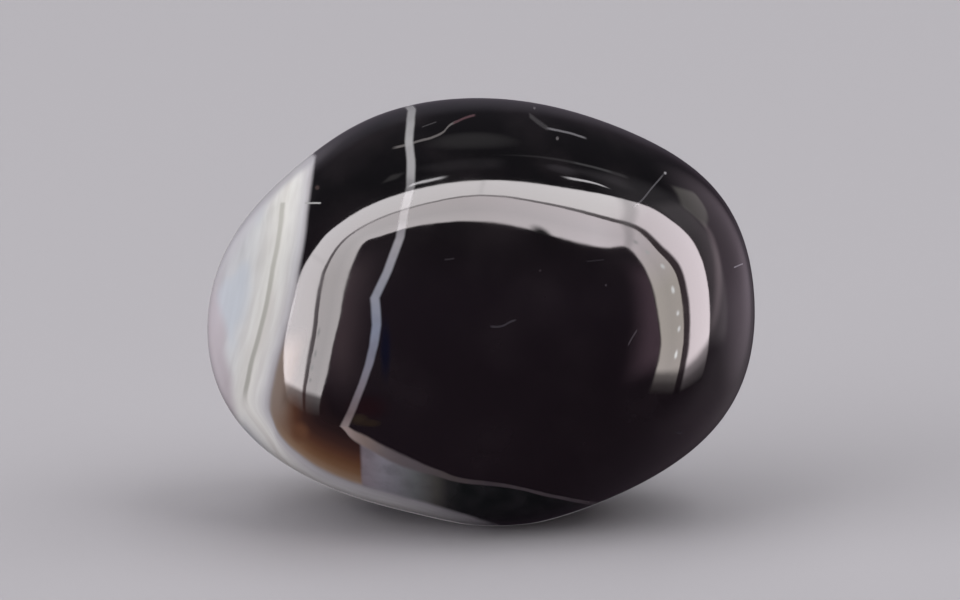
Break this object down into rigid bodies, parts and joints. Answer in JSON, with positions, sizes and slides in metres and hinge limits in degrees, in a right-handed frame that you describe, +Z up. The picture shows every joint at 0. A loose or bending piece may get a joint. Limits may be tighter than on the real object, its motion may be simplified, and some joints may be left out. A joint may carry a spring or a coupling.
{
  "type": "banded agate",
  "caption": "Polished oval black agate with white, grey and brown banding, standing on its edge on a small flat spot.",
  "frame": {"origin": "on the surface that the stone rests on, under the middle of the stone's box", "axes": "+X along the stone's length, away from its white end; -Y out of the domed face that shows; +Z up"},
  "size_m": [0.0182, 0.0102, 0.014],
  "materials": {
    "polished_agate": "glassy polish, black with translucent white, grey and brown bands at one end"
  },
  "bodies": {
    "root": {"agate": "polished_agate"}
  },
  "joints": []
}
